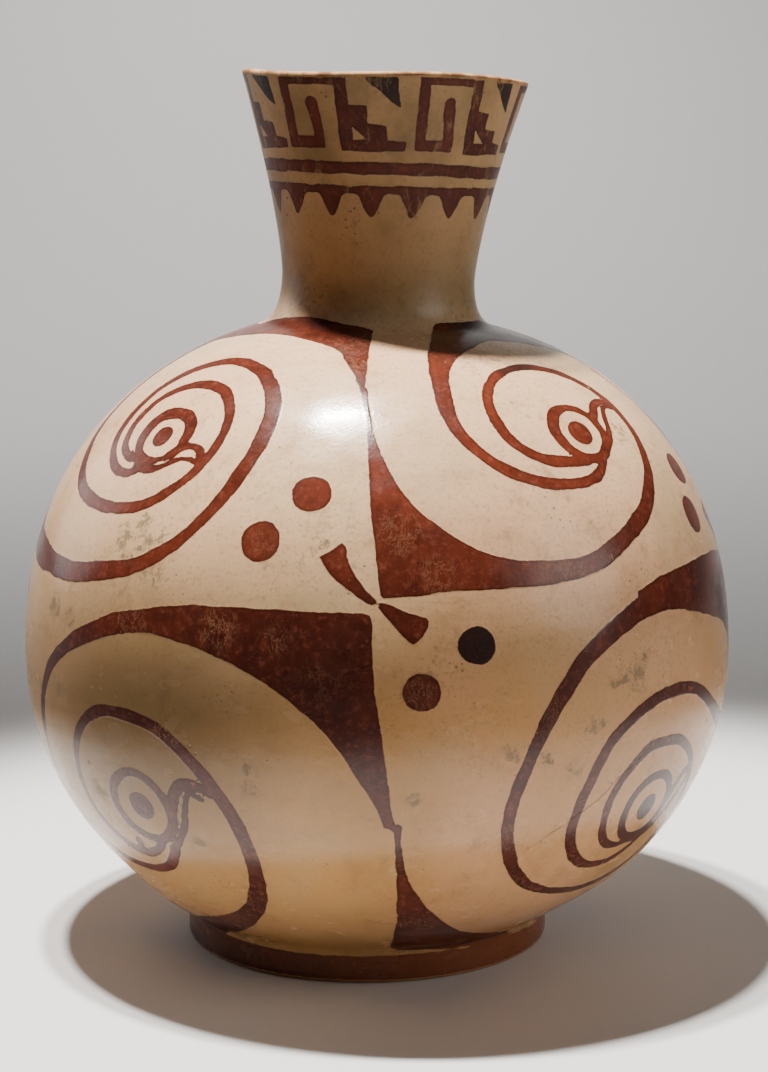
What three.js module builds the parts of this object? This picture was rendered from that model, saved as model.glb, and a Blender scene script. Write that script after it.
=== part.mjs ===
// A globular fired-clay jar: a round body on a low ring foot, with a short flaring neck.
// Millimetres, +Z up. The origin is under the centre of the body, on the plane that the foot stands on.
import * as THREE from "three";

// Body: a bowl below the widest line and a dome above it
const bodyRadius = 123.8;
const bowlDrop = 108; // from the widest line down to where the bowl would close
const domeRise = 118; // from the widest line up to where the dome would close
const bowlFullness = 2; // 2 is an ellipse, more is fuller
const domeFullness = 2.2;

// Ring foot
const footRadius = 64.2;
const footHeight = 11.5;
const footWall = 11;
const footRecess = 3.5; // how far the underside is hollowed within the ring
const footEdgeRound = 1.4;
const footJoinRound = 3;

// Neck
const neckHeight = 83.7; // from the shoulder to the top of the lip
const throatRise = 15.2; // from the shoulder to the narrowest place
const throatRadius = 33.4;
const lipRadius = 49.4;
const flarePower = 1.35; // 1 is a straight cone, more keeps the neck narrow for longer
const shoulderRound = 8;
const lipRound = 1.8; // rounding of the lip's two edges

// Thickness of the clay
const bodyWall = 6.5;
const neckWall = 5.2;
const floorThickness = 9;
const innerBowlFullness = 2.4;

// What the hand left: the foot sits off centre, the neck leans and the lip is not level
const footShift = -3.6;
const footShiftFade = 24; // height over which the foot's shift dies out
const lipShift = 2.9;
const lipTilt = THREE.MathUtils.degToRad(1.95); // the +X side is the lower one
const lipWave = 0.64; // how far the lip's edge rises and dips
const lipWaves = 3;
const lipWaveTurn = THREE.MathUtils.degToRad(25); // where one crest is, from -Y towards +X
const lipWaveFade = 24; // height over which the wave dies out down the neck

// How finely curves are cut
const turnSegments = 60;
const bowlSteps = 9;
const domeSteps = 9;
const neckSteps = 5;
const roundSteps = 2;

const slipColour = 0xd2b08c;

// Height of a superellipse over its axis, for a share of its half-width from 0 to 1
const superellipse = (share, fullness) => Math.pow(1 - Math.pow(share, fullness), 1 / fullness);

const equatorHeight = footHeight + bowlDrop * superellipse(footRadius / bodyRadius, bowlFullness);
const shoulderHeight = equatorHeight + domeRise * superellipse(throatRadius / bodyRadius, domeFullness);
const throatHeight = shoulderHeight + throatRise;
const lipHeight = shoulderHeight + neckHeight;
const floorHeight = footRecess + floorThickness;

// Points of the body's curve from one radius to another, evenly spaced in angle.
// side is -1 for the bowl and 1 for the dome.
function bodyCurve(radius, reach, fullness, side, fromRadius, toRadius, steps) {
  const start = Math.asin(Math.min(1, fromRadius / radius));
  const end = Math.asin(Math.min(1, toRadius / radius));
  const points = [];
  for (let i = 0; i <= steps; i++) {
    const share = Math.sin(start + ((end - start) * i) / steps);
    points.push(new THREE.Vector2(radius * share, equatorHeight + side * reach * superellipse(share, fullness)));
  }
  return points;
}

// A rounded corner from one point to another, bulging towards the corner point
function rounded(from, corner, to, steps) {
  return new THREE.QuadraticBezierCurve(from, corner, to).getPoints(steps);
}

// Outer radius of the neck above its throat
function neckRadius(height) {
  const share = Math.max(0, (height - throatHeight) / (lipHeight - throatHeight));
  return throatRadius + (lipRadius - throatRadius) * Math.pow(share, flarePower);
}

// The neck's curve upwards, inset by the thickness of its wall on the inside
function neckCurve(inset) {
  const points = [];
  for (let i = 0; i <= neckSteps; i++) {
    const height = throatHeight + ((lipHeight - lipRound - throatHeight) * i) / neckSteps;
    points.push(new THREE.Vector2(neckRadius(height) - inset, height));
  }
  return points;
}

function underside() {
  const ringInside = footRadius - footWall;
  return [
    new THREE.Vector2(0, footRecess),
    new THREE.Vector2(ringInside - footEdgeRound, footRecess),
    new THREE.Vector2(ringInside, footRecess - footEdgeRound),
    new THREE.Vector2(ringInside, footEdgeRound),
    new THREE.Vector2(ringInside + footEdgeRound, 0),
    ...rounded(
      new THREE.Vector2(footRadius - footEdgeRound, 0),
      new THREE.Vector2(footRadius, 0),
      new THREE.Vector2(footRadius, footEdgeRound),
      roundSteps,
    ),
  ];
}

function outside() {
  const bowlStart = footRadius + footJoinRound;
  const domeEnd = throatRadius + shoulderRound;
  const bowl = bodyCurve(bodyRadius, bowlDrop, bowlFullness, -1, bowlStart, bodyRadius, bowlSteps);
  const dome = bodyCurve(bodyRadius, domeRise, domeFullness, 1, bodyRadius, domeEnd, domeSteps);
  const footJoin = rounded(
    new THREE.Vector2(footRadius, footHeight - footJoinRound),
    new THREE.Vector2(footRadius, footHeight),
    bowl[0],
    roundSteps,
  );
  const shoulder = rounded(
    dome[dome.length - 1],
    new THREE.Vector2(throatRadius, shoulderHeight),
    new THREE.Vector2(throatRadius, throatHeight),
    roundSteps + 1,
  );
  return [...footJoin, ...bowl.slice(1), ...dome.slice(1), ...shoulder.slice(1), ...neckCurve(0).slice(1)];
}

// The lip is flat on top, with both its edges rounded
function lip() {
  const outerEdge = neckCurve(0)[neckSteps];
  const innerEdge = neckCurve(neckWall)[neckSteps];
  const inside = lipRadius - neckWall;
  return [
    ...rounded(
      outerEdge,
      new THREE.Vector2(lipRadius, lipHeight),
      new THREE.Vector2(lipRadius - lipRound, lipHeight),
      roundSteps,
    ).slice(1),
    ...rounded(
      new THREE.Vector2(inside + lipRound, lipHeight),
      new THREE.Vector2(inside, lipHeight),
      innerEdge,
      roundSteps,
    ).slice(0, -1),
  ];
}

function inside() {
  const radius = bodyRadius - bodyWall;
  const throat = throatRadius - neckWall;
  const domeStart = throat + shoulderRound;
  const innerRise = domeRise - bodyWall;
  const innerDrop = equatorHeight - floorHeight;
  const dome = bodyCurve(radius, innerRise, domeFullness, 1, domeStart, radius, domeSteps);
  const bowl = bodyCurve(radius, innerDrop, innerBowlFullness, -1, radius, 0, bowlSteps);
  const shoulder = rounded(
    new THREE.Vector2(throat, throatHeight),
    new THREE.Vector2(throat, shoulderHeight - bodyWall),
    dome[0],
    roundSteps + 1,
  );
  return [...neckCurve(neckWall).reverse().slice(0, -1), ...shoulder, ...dome.slice(1), ...bowl.slice(1)];
}

// Moves a point of the true round jar to where the hand-built one has it
function lean(point) {
  const footShare = THREE.MathUtils.smoothstep(point.z, footHeight, footHeight + footShiftFade);
  const neckShare = Math.max(0, (point.z - shoulderHeight) / neckHeight);
  const tiltShare = THREE.MathUtils.smoothstep(point.z, shoulderHeight - throatRise, throatHeight);
  const waveShare = THREE.MathUtils.smoothstep(point.z, lipHeight - lipWaveFade, lipHeight);
  const turn = Math.atan2(point.x, -point.y);
  point.z += lipWave * Math.cos(lipWaves * (turn - lipWaveTurn)) * waveShare;
  point.z -= Math.tan(lipTilt) * point.x * tiltShare;
  point.x += footShift * (1 - footShare) + lipShift * neckShare;
  return point;
}

function buildJar() {
  const profile = [...underside(), ...outside(), ...lip(), ...inside()];
  const geometry = new THREE.LatheGeometry(profile, turnSegments);
  geometry.rotateX(Math.PI / 2);
  const position = geometry.getAttribute("position");
  const point = new THREE.Vector3();
  for (let i = 0; i < position.count; i++) {
    lean(point.fromBufferAttribute(position, i));
    position.setXYZ(i, point.x, point.y, point.z);
  }
  geometry.computeVertexNormals();
  const material = new THREE.MeshStandardMaterial({ color: slipColour, roughness: 0.45, metalness: 0 });
  const jar = new THREE.Mesh(geometry, material);
  jar.name = "jar";
  return jar;
}

const vessel = new THREE.Group();
vessel.add(buildJar());

export default vessel;
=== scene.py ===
"""A round-bodied clay jar with a flaring neck, slipped cream and painted with scrolls in dark slip."""
import math
import bmesh
import bpy
import numpy as np
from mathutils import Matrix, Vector


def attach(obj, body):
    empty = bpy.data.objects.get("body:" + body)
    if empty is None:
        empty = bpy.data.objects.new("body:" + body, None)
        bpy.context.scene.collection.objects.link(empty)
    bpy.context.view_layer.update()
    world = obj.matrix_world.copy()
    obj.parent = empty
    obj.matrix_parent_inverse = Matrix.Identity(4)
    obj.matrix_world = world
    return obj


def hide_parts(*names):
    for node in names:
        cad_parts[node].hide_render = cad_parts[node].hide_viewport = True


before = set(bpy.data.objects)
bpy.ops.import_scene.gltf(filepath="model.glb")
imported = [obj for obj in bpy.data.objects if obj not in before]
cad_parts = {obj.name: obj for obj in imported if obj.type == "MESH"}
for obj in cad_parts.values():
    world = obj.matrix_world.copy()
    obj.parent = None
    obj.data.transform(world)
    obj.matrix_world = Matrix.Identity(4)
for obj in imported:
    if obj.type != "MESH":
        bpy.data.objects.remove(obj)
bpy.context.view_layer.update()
MM = 0.001

# Sizes of the jar, in millimetres
BODY_RADIUS = 123.8
BOWL_DROP, BOWL_FULLNESS = 108.0, 2.0
DOME_RISE, DOME_FULLNESS = 118.0, 2.2
FOOT_RADIUS, FOOT_HEIGHT, FOOT_WALL, FOOT_RECESS = 64.2, 11.5, 11.0, 3.5
FOOT_EDGE_ROUND, FOOT_JOIN_ROUND = 1.4, 3.0
NECK_HEIGHT, THROAT_RISE, THROAT_RADIUS = 83.7, 15.2, 33.4
LIP_RADIUS, LIP_ROUND, FLARE_POWER, SHOULDER_ROUND = 49.4, 1.8, 1.35, 8.0
BODY_WALL, NECK_WALL, FLOOR_THICKNESS, INNER_BOWL_FULLNESS = 6.5, 5.2, 9.0, 2.4
FOOT_SHIFT, FOOT_SHIFT_FADE, LIP_SHIFT, LIP_TILT = -3.6, 24.0, 2.9, math.radians(1.95)
LIP_WAVE, LIP_WAVES, LIP_WAVE_TURN, LIP_WAVE_FADE = 0.64, 3, math.radians(25), 24.0

# How finely the jar is cut, and how near to a painted edge it is cut finer
TURN_STEPS = 270
FINE_WITHIN = 1.05

# The four crossings of the painting, in degrees round the jar, each with how far its dots are out of place
CROSSINGS = ((0, 0), (86, 1), (174, -0.6), (262, 0.5))
LAYOUT_TURNS = (0, 87, 175, 263)  # the upright lines scratched before painting


def bulge(share, fullness):
    return max(0.0, 1 - share**fullness) ** (1 / fullness)


EQUATOR = FOOT_HEIGHT + BOWL_DROP * bulge(FOOT_RADIUS / BODY_RADIUS, BOWL_FULLNESS)
SHOULDER = EQUATOR + DOME_RISE * bulge(THROAT_RADIUS / BODY_RADIUS, DOME_FULLNESS)
THROAT = SHOULDER + THROAT_RISE
LIP = SHOULDER + NECK_HEIGHT


# ---- Outline of the jar ----
def body_curve(radius, reach, fullness, side, start, end, steps=90):
    first, last = (math.asin(min(1.0, r / radius)) for r in (start, end))
    shares = [math.sin(first + (last - first) * i / steps) for i in range(steps + 1)]
    return [(radius * s, EQUATOR + side * reach * bulge(s, fullness)) for s in shares]


def rounded(start, corner, end, steps=14):
    ts = [i / steps for i in range(steps + 1)]
    return [
        tuple((1 - t) ** 2 * a + 2 * t * (1 - t) * b + t * t * c for a, b, c in zip(start, corner, end))
        for t in ts
    ]


def neck_curve(inset, steps=60):
    heights = [THROAT + (LIP - LIP_ROUND - THROAT) * i / steps for i in range(steps + 1)]
    flare = LIP_RADIUS - THROAT_RADIUS
    shares = [((h - THROAT) / (LIP - THROAT)) ** FLARE_POWER for h in heights]
    return [(THROAT_RADIUS + flare * share - inset, h) for share, h in zip(shares, heights)]


def outer_curve():
    bowl = body_curve(BODY_RADIUS, BOWL_DROP, BOWL_FULLNESS, -1, FOOT_RADIUS + FOOT_JOIN_ROUND, BODY_RADIUS)
    dome = body_curve(BODY_RADIUS, DOME_RISE, DOME_FULLNESS, 1, BODY_RADIUS, THROAT_RADIUS + SHOULDER_ROUND)
    foot = rounded((FOOT_RADIUS, FOOT_HEIGHT - FOOT_JOIN_ROUND), (FOOT_RADIUS, FOOT_HEIGHT), bowl[0])
    shoulder = rounded(dome[-1], (THROAT_RADIUS, SHOULDER), (THROAT_RADIUS, THROAT))
    return [(FOOT_RADIUS, 0.0), *foot, *bowl[1:], *dome[1:], *shoulder[1:], *neck_curve(0)[1:]]


def inner_curve():
    radius, throat = BODY_RADIUS - BODY_WALL, THROAT_RADIUS - NECK_WALL
    floor = FOOT_RECESS + FLOOR_THICKNESS
    dome = body_curve(radius, DOME_RISE - BODY_WALL, DOME_FULLNESS, 1, throat + SHOULDER_ROUND, radius)
    bowl = body_curve(radius, EQUATOR - floor, INNER_BOWL_FULLNESS, -1, radius, 0.0)
    shoulder = rounded((throat, THROAT), (throat, SHOULDER - BODY_WALL), dome[0])
    return [*neck_curve(NECK_WALL)[::-1], *shoulder[1:], *dome[1:], *bowl[1:]]


def lip_curve():
    outer, inner, wall = neck_curve(0)[-1], neck_curve(NECK_WALL)[-1], LIP_RADIUS - NECK_WALL
    outside = rounded(outer, (LIP_RADIUS, LIP), (LIP_RADIUS - LIP_ROUND, LIP), 4)
    inside = rounded((wall + LIP_ROUND, LIP), (wall, LIP), inner, 4)
    return outside[1:] + inside[:-1]


OUTER = np.array(outer_curve())
CLIMB = np.concatenate([[0.0], np.cumsum(np.hypot(*np.diff(OUTER, axis=0).T))])
LIP_CLIMB = CLIMB[-1]


def radius_at(climb):
    return np.interp(climb, CLIMB, OUTER[:, 0])


def height_at(climb):
    return np.interp(climb, CLIMB, OUTER[:, 1])


def eased(x, low, high):
    t = np.clip((x - low) / (high - low), 0, 1)
    return t * t * (3 - 2 * t)


def lean(co):
    """The hand-built jar's own lean: its foot is off centre and its lip isn't level."""
    x, z = co[:, 0].copy(), co[:, 2].copy()
    tilt = eased(z, SHOULDER - THROAT_RISE, THROAT)
    turn = np.arctan2(x, -co[:, 1])
    wave = np.cos(LIP_WAVES * (turn - LIP_WAVE_TURN)) * eased(z, LIP - LIP_WAVE_FADE, LIP)
    foot = 1 - eased(z, FOOT_HEIGHT, FOOT_HEIGHT + FOOT_SHIFT_FADE)
    co[:, 0] = x + FOOT_SHIFT * foot + LIP_SHIFT * np.maximum(0, (z - SHOULDER) / NECK_HEIGHT)
    co[:, 2] = z + LIP_WAVE * wave - math.tan(LIP_TILT) * x * tilt
    return co


# ---- Brush marks: signed distances in millimetres, less than 0 inside the paint ----
FAR = 14.0


def smooth_line(points, steps=8):
    """A flowing curve through every point, whatever the number of values each point has."""
    p = np.array(points, float)
    p = np.vstack([2 * p[0] - p[1], p, 2 * p[-1] - p[-2]])
    out = []
    for a, b, c, d in zip(p[:-3], p[1:-2], p[2:-1], p[3:]):
        for i in range(steps):
            t = i / steps
            bend, twist = 2 * a - 5 * b + 4 * c - d, 3 * b - a - 3 * c + d
            out.append(0.5 * (2 * b + (c - a) * t + bend * t**2 + twist * t**3))
    out.append(p[-2])
    return np.array(out)


def to_stroke(x, y, line):
    """Distance to the edge of a stroke. line is rows of x, y and the brush's width there."""
    best = np.full(x.shape, FAR)
    reach = FAR + line[:, 2].max()
    near = (x > line[:, 0].min() - reach) & (x < line[:, 0].max() + reach)
    near &= (y > line[:, 1].min() - reach) & (y < line[:, 1].max() + reach)
    if not near.any():
        return best
    px, py, found = x[near], y[near], best[near]
    for (ax, ay, aw), (bx, by, bw) in zip(line[:-1], line[1:]):
        dx, dy = bx - ax, by - ay
        t = np.clip(((px - ax) * dx + (py - ay) * dy) / (dx * dx + dy * dy + 1e-9), 0, 1)
        found = np.minimum(found, np.hypot(px - ax - t * dx, py - ay - t * dy) - (aw + (bw - aw) * t) / 2)
    best[near] = found
    return best


def to_patch(x, y, outline):
    """Distance to the edge of a filled patch with this closed outline."""
    best = np.full(x.shape, FAR)
    low, high = outline.min(0) - FAR, outline.max(0) + FAR
    near = (x > low[0]) & (x < high[0]) & (y > low[1]) & (y < high[1])
    if not near.any():
        return best
    px, py = x[near], y[near]
    gap, inside = np.full(px.shape, 1e9), np.zeros(px.shape, bool)
    for (ax, ay), (bx, by) in zip(outline, np.roll(outline, -1, axis=0)):
        dx, dy = bx - ax, by - ay
        t = np.clip(((px - ax) * dx + (py - ay) * dy) / (dx * dx + dy * dy + 1e-9), 0, 1)
        gap = np.minimum(gap, np.hypot(px - ax - t * dx, py - ay - t * dy))
        crosses = (ay > py) != (by > py)
        inside ^= crosses & (px < ax + (py - ay) * dx / (dy if abs(dy) > 1e-9 else 1e-9))
    best[near] = np.where(inside, -gap, gap)
    return best


def blended(a, b, soft):
    """The nearer of two marks, with the hollow between them filled in by this much."""
    h = np.clip(0.5 + 0.5 * (b - a) / soft, 0, 1)
    return b + (a - b) * h - soft * h * (1 - h)


class Surface:
    """The points to paint: their turn round the jar in degrees, and their climb up its outline in mm."""

    def __init__(self, turn, climb):
        self.turn, self.climb, self.radius = turn, climb, radius_at(climb)

    def around(self, turn, climb):
        """Flat millimetres right and up of a place on the jar."""
        away = (self.turn - turn + 180) % 360 - 180
        return np.radians(away) * self.radius, self.climb - climb

    def patch(self, turn, *sides):
        """A filled patch. Each side is a flowing curve of (turn, climb) points on from the end of the
        side before it, all shifted by turn."""
        starts = [sides[-1][-1], *(side[-1] for side in sides)]
        rim = np.vstack([
            smooth_line([start, *side])[:-1] if len(side) > 1 else np.array([start], float)
            for start, side in zip(starts, sides)
        ])
        middle = (rim[:, 0].max() + rim[:, 0].min()) / 2
        flat = np.column_stack([np.radians(rim[:, 0] - middle) * radius_at(rim[:, 1]), rim[:, 1]])
        x, y = self.around(turn + middle, 0)
        return to_patch(x, y, flat)

    def dot(self, turn, climb, size, squash=1.0):
        x, y = self.around(turn, climb)
        return np.minimum(FAR, np.hypot(x, y * squash) - size)

    def arm(self, eye, points):
        """A scroll's arm about its eye. Each point is (degrees round the eye, distance from it, width)."""
        p = smooth_line(points)
        round_eye = np.radians(p[:, 0])
        line = np.column_stack([p[:, 1] * np.cos(round_eye), p[:, 1] * np.sin(round_eye), p[:, 2]])
        return to_stroke(*self.around(*eye), line)

    def level_stroke(self, points):
        """A stroke through (turn, climb, width) points that are close together."""
        p = smooth_line(points)
        middle = (p[:, 0].max() + p[:, 0].min()) / 2
        flat_x = np.radians(p[:, 0] - middle) * radius_at(p[:, 1])
        return to_stroke(*self.around(middle, 0), np.column_stack([flat_x, p[:, 1], p[:, 2]]))


# ---- The painted design ----
def top_horn(s, turn):
    """Horn of paint under the neck that sweeps left from a crossing and becomes a scroll's inner arm."""
    return s.patch(
        turn,
        [(-8, 282.4), (-20, 283.8), (-32, 285), (-45, 285.2), (-58, 284.2), (-70, 282.6),
         (-82, 280), (-92, 276)],
        [(-92, 254)],
        [(-84, 260), (-76, 265.4), (-68, 269.2), (-60, 271.8), (-50, 273.6), (-40, 273.4),
         (-30, 271.6), (-20, 267.8), (-15.4, 265.6), (-12, 262), (-9.6, 257.6), (-7, 251.4), (-4.9, 245),
         (-3.4, 238)],
        [(-2.6, 246), (-2.6, 262), (-1.6, 281)],
    )


def right_top_horn(s, turn):
    """The shorter horn over the right-hand scroll, ending at the next crossing."""
    return s.patch(
        turn,
        [(75, 283.6), (60, 284), (45, 284), (33, 283.6), (28.4, 280.6), (23.8, 275),
         (20.2, 268.6), (17.2, 260.8), (15.4, 253), (14.2, 246)],
        [(18.8, 244)],
        [(20.4, 250), (24.4, 256.6), (30.4, 262), (38, 266), (46, 269), (52, 269.6), (60, 267),
         (70, 262.4), (79, 257), (84.5, 249), (87, 238)],
        [(87.4, 250), (88, 265), (88.5, 281)],
    )


def upper_triangle(s, turn, dip=0.0):
    """Curved triangle at a crossing. An upper scroll sets off from it to the right, lower by dip."""
    def rim(*points):
        return [(a, c - dip * eased(a, 4, 30)) for a, c in points]

    return s.patch(
        turn,
        rim((-1.6, 212), (-1.3, 204), (-0.7, 190), (0, 177.5), (0.5, 168.5), (0.8, 165.4)),
        rim((6, 166.2), (12, 167.3), (22, 167.3), (29, 167.7), (34, 169.6)),
        rim((32.5, 174.8)),
        rim((26.5, 174.7), (21, 176.4), (16.5, 179.8), (12.6, 184.2), (8.8, 190),
            (5.6, 196.4), (3.4, 202.6), (1.9, 209), (0.2, 217), (-0.3, 221)),
        rim((-1.6, 221)),
    )


def crossing_line(s, turn):
    """The thin upright stroke between a horn and the triangle under it."""
    return s.level_stroke([(turn - 3, 241, 2.2), (turn - 2.4, 233, 1.9), (turn - 1.6, 226, 1.9),
                           (turn - 1, 218, 2.2)])


def lower_triangle(s, turn):
    """Curved triangle at a crossing, from which a lower scroll sets off to the left."""
    return s.patch(
        turn,
        [(-43, 155.2), (-38, 157.6), (-32, 159.8), (-25, 161.2), (-14, 161.3), (-6, 161),
         (-1.8, 160.9)],
        [(-0.6, 158.5), (-0.5, 145), (0.3, 130), (1.3, 115), (2.2, 100), (2.7, 90.6)],
        [(1.2, 91)],
        [(0.5, 96), (-0.6, 101), (-2.2, 107), (-4.6, 115.6), (-9, 127.3), (-15.2, 137.3),
         (-21.5, 143.8), (-27.7, 147.8), (-33, 149.8), (-38, 150), (-43, 148), (-47, 145.6)],
        [(-47, 152.4)],
    )


def far_lower_triangle(s, turn):
    """The triangle at the next crossing to the right, fuller at its top."""
    return s.patch(
        turn,
        [(48, 163.8), (53, 165.4), (60, 166.4), (68, 166.8), (75, 165.8), (80.5, 163.4),
         (85, 161)],
        [(85.4, 150), (86.3, 130), (87.4, 108), (88.6, 93)],
        [(87, 93)],
        [(86, 102), (84.2, 112), (82, 121), (79.6, 128.6), (77, 134.8), (74, 139.8), (71, 143),
         (64, 147.4), (57, 151.4), (51, 153.4), (44, 153)],
        [(44, 161.4)],
    )


def foot_horn(s, turn, sweep=1.0):
    """Horn of paint over the foot that sweeps right from a crossing and becomes a scroll's inner arm."""
    def rim(*points):
        return [(a if a < 8 else 8 + (a - 8) * sweep, c) for a, c in points]

    return s.patch(
        turn,
        rim((2.9, 83), (3.3, 74), (3.6, 62), (4, 50), (4.7, 38), (5.7, 27), (7, 17),
            (8.6, 12.8)),
        rim((14, 12), (22, 10.9), (30, 10.1), (38, 9.3), (46, 8.6), (56, 8)),
        rim((51, 10), (45, 14), (40, 17.6), (35, 21), (30, 24.4), (25, 28), (21, 32), (17.6, 36.8),
            (13.8, 43.2), (10.4, 51), (7.8, 59), (6, 66), (4.9, 73), (4.2, 80), (3.9, 92.4)),
        rim((2.4, 92.4)),
    )


def upper_left_scroll(s, turn):
    eye = (turn - 47.3, 215.5)
    ring = [(-2, 11, 4.4), (45, 10.9, 4.4), (90, 10.1, 5.2), (135, 10.5, 5.6), (180, 10, 5.2),
            (225, 9.8, 3.8), (262, 10, 4.4), (278, 9.8, 3.6), (292, 9.8, 2.6), (305, 10.2, 2.4),
            (318, 11.2, 2.6), (330, 12, 3)]
    upper_bill = [(-43, 208.2, 2.8), (-41.2, 210.8, 3.8), (-39.7, 212.6, 3.2), (-37.6, 213.2, 2.4),
                  (-35.9, 212.4, 2.6), (-34.8, 210.6, 2.8), (-34.4, 208.4, 2.8), (-34.2, 206, 2.6)]
    lower_bill = [(-50, 204.8, 3.4), (-47.6, 203.5, 3.6), (-45.5, 203.1, 3.4), (-43.5, 203.9, 2.8),
                  (-42, 205.4, 2.4), (-40.4, 207.1, 2.1), (-38.6, 208.2, 1.9), (-36.8, 208.2, 1.9),
                  (-35.5, 207.3, 1.6)]
    inner_arm = [(120, 65, 13), (135, 60, 8), (150, 57, 6), (168, 54.5, 5), (184, 51.8, 5), (196, 47, 5),
                 (208, 43, 5), (225, 36.4, 5.2), (240, 31.4, 4.6), (255, 28.6, 4.2), (270, 26.9, 4),
                 (292, 25.9, 4.2), (315, 25.3, 4.2), (338, 25.4, 3.8), (360, 25.1, 3.6), (382, 24.3, 3.6),
                 (405, 24, 3.8), (427, 24.6, 4.4), (450, 24.3, 4.6), (472, 23.4, 4), (495, 22.5, 3.6),
                 (517, 21.3, 3.6), (540, 20, 3.6), (556, 18.6, 3.5), (573, 15.6, 3.4), (590, 12.6, 3.2)]
    outer_arm = [(204, 95, 8), (209, 88, 8), (214, 81.5, 8), (219, 75.4, 8), (225, 69, 7.8),
                 (233, 63.2, 7.6), (241, 58.4, 7.4), (250, 54.2, 7), (258, 51, 6.8), (270, 47.9, 6.4),
                 (292, 46.3, 5.4), (315, 44.4, 4.6), (337, 42.1, 5.4), (360, 40, 5.8), (382, 38.3, 5.2),
                 (405, 37, 4.8), (427, 37.6, 4.6), (450, 38, 4.6), (472, 34.7, 4), (495, 31.4, 3.8),
                 (517, 29.1, 3.6), (540, 27.3, 3.8), (552, 25.8, 3.8), (566, 23.6, 3.8), (580, 21.2, 3.8),
                 (594, 18.8, 3.8), (606, 16.4, 3.6), (617, 13.4, 3.2)]
    lines = [s.arm(eye, line) for line in (ring, inner_arm, outer_arm)]
    for bill in (upper_bill, lower_bill):
        lines.append(s.level_stroke([(turn + a, c, width) for a, c, width in bill]))
    return [s.dot(*eye, 4.2), *lines, top_horn(s, turn)]


def upper_right_scroll(s, turn):
    eye = (turn + 45.1, 217.5)
    ring = [(0, 11.1, 3.6), (45, 11.4, 3.2), (90, 10.9, 3.2), (135, 10.2, 4.6), (180, 10.5, 5),
            (225, 10.6, 4.6), (270, 10.1, 3.6), (315, 10.4, 3.6), (360, 11.1, 3.6)]
    upper_bill = [(350, 11.6, 3), (371, 11.6, 3.4), (382, 12.4, 3.8), (387.5, 15.6, 3.8), (390, 20, 3.6),
                  (386.5, 24.6, 3.2), (381, 28, 2.6)]
    lower_bill = [(300, 11.2, 2.8), (321, 11.3, 3), (342, 13.2, 3), (357, 15.2, 2.8), (370, 17.6, 2.6),
                  (379, 21.2, 2.4), (380.5, 24.8, 2.2), (376, 28.4, 2.4)]
    outer_arm = [(217, 72, 6), (225, 63.5, 6.6), (235, 56, 6.6), (245, 50, 6.4), (257, 42.7, 6),
                 (270, 37.2, 6), (285, 34, 6.2), (300, 32.2, 6.2), (315, 31.1, 5.6), (337, 30.6, 4.4),
                 (360, 30.7, 3.6), (382, 30.6, 3.4), (405, 30.3, 3.4), (429, 31.4, 3.4), (450, 32.8, 3.6),
                 (472, 32.3, 3.2), (495, 31.6, 3.2), (518, 31, 4), (540, 29.2, 4.6), (553, 26, 4.6),
                 (565, 21.4, 4.6), (578, 16.4, 4.6), (593, 12.9, 4.4), (606, 11.4, 4)]
    inner_arm = [(118, 49.8, 7), (127, 47.6, 6), (137, 45.6, 5.6), (150, 44.6, 5.2), (170, 45.1, 5.2),
                 (180, 44.4, 5.2), (193, 40.5, 5), (205, 34.9, 4.6), (218, 28.7, 4.2), (230, 23.7, 4),
                 (245, 19.5, 3.8), (260, 16.4, 3.6), (275, 13.4, 3.4), (290, 11.4, 3)]
    lines = [s.arm(eye, line) for line in (ring, upper_bill, lower_bill, outer_arm, inner_arm)]
    return [s.dot(*eye, 4.9), *lines, upper_triangle(s, turn), right_top_horn(s, turn)]


def lower_left_scroll(s, turn):
    eye = (turn - 40.2, 90.5)
    ring = [(0, 12.2, 3.8), (45, 12.2, 3.6), (90, 12.7, 3.4), (135, 12.6, 3.8), (180, 13.2, 4.2),
            (225, 13.2, 4), (270, 13.1, 3.8), (315, 12.7, 3.8), (360, 12.2, 3.8)]
    upper_bill = [(292, 17.6, 3), (301, 16.9, 2.8), (328, 16.3, 2.8), (351.7, 17.5, 2.6),
                  (367.6, 19.3, 2.4), (379.8, 22.3, 2.2), (381.5, 24.4, 2), (378, 26, 1.9),
                  (374.5, 27.6, 1.9)]
    lower_bill = [(345, 12.6, 4), (361, 12.6, 4.8), (375, 14.4, 4.8), (386, 18.2, 4.4), (390, 22, 4.2),
                  (388, 25.8, 4), (383, 29.2, 3.6), (377.5, 31.4, 3)]
    outer_arm = [(92, 62, 5.6), (97, 60.8, 6), (103, 59.9, 6.2), (112, 59.2, 6),
                 (125, 59.6, 5), (140, 60.8, 4.4), (157, 60, 4), (178, 58.2, 4), (198, 53.5, 4),
                 (214, 47.5, 4), (225, 42.5, 4), (240, 35.7, 4), (255, 30.6, 4), (270, 25.7, 4),
                 (285, 20.4, 3.8), (300, 17.2, 3.2)]
    inner_arm = [(250, 83, 14), (256, 77.8, 15), (262, 72.2, 15), (270, 65, 13.2), (279, 59, 10.8),
                 (288, 54.3, 8.6), (299, 49.8, 6.8), (315, 44.9, 5.8), (333, 40.8, 5.2), (347, 38.6, 5.2),
                 (360, 36.8, 5.6), (382, 33.8, 5.2), (405, 32.2, 4.6), (427, 32.2, 4.2), (450, 32.3, 4.4),
                 (472, 34.1, 4), (495, 34.5, 4), (517, 33.4, 3.4), (540, 32.1, 3), (562, 30.4, 3),
                 (582, 27.6, 3.6), (598, 25.2, 4), (612, 22.4, 3.8), (627, 18, 3.4), (640, 14.4, 3.2)]
    lines = [s.arm(eye, line) for line in (ring, upper_bill, lower_bill, outer_arm, inner_arm)]
    return [s.dot(turn - 40.3, 90.7, 5.4, 1.06), *lines, lower_triangle(s, turn)]


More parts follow.
